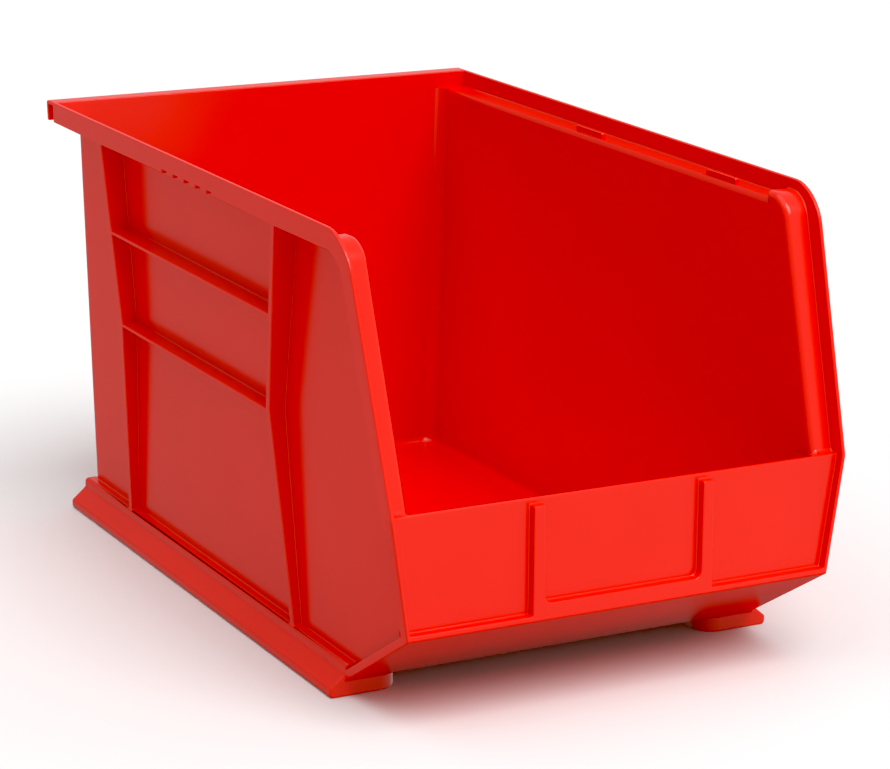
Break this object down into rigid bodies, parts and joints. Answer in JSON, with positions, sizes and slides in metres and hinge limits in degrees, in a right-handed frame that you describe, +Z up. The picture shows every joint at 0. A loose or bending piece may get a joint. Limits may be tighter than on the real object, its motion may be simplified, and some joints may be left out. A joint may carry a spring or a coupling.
{
  "type": "stackable storage bin",
  "caption": "Hopper-front stacking storage bin with a sloped open mouth, ribbed sides, stacking rails under the floor and a hang lip along the back.",
  "frame": {"origin": "on the ground under the middle of the bin's overall box", "axes": "+Z up; the open hopper front faces -Y and the hang lip is at +Y; +X is the bin's right seen from behind the front, looking along +Y"},
  "size_m": [0.2794, 0.4572, 0.254],
  "materials": {
    "bin_plastic": "glossy injection-moulded polypropylene, saturated red through and through"
  },
  "bodies": {
    "root": {"back_wall": "bin_plastic", "floor_pan": "bin_plastic", "front_panel": "bin_plastic", "hang_lip": "bin_plastic", "label_frame": "bin_plastic", "left_back_side_rib": "bin_plastic", "left_front_side_rib": "bin_plastic", "left_lower_shelf_rib": "bin_plastic", "left_rim_flange": "bin_plastic", "left_rim_ledge": "bin_plastic", "left_side_wall": "bin_plastic", "left_stacking_rail": "bin_plastic", "left_stacking_stops": "bin_plastic", "left_upper_shelf_rib": "bin_plastic", "right_back_side_rib": "bin_plastic", "right_front_side_rib": "bin_plastic", "right_lower_shelf_rib": "bin_plastic", "right_rim_flange": "bin_plastic", "right_rim_ledge": "bin_plastic", "right_side_wall": "bin_plastic", "right_stacking_rail": "bin_plastic", "right_stacking_stops": "bin_plastic", "right_upper_shelf_rib": "bin_plastic", "toe_panel": "bin_plastic"}
  },
  "joints": []
}
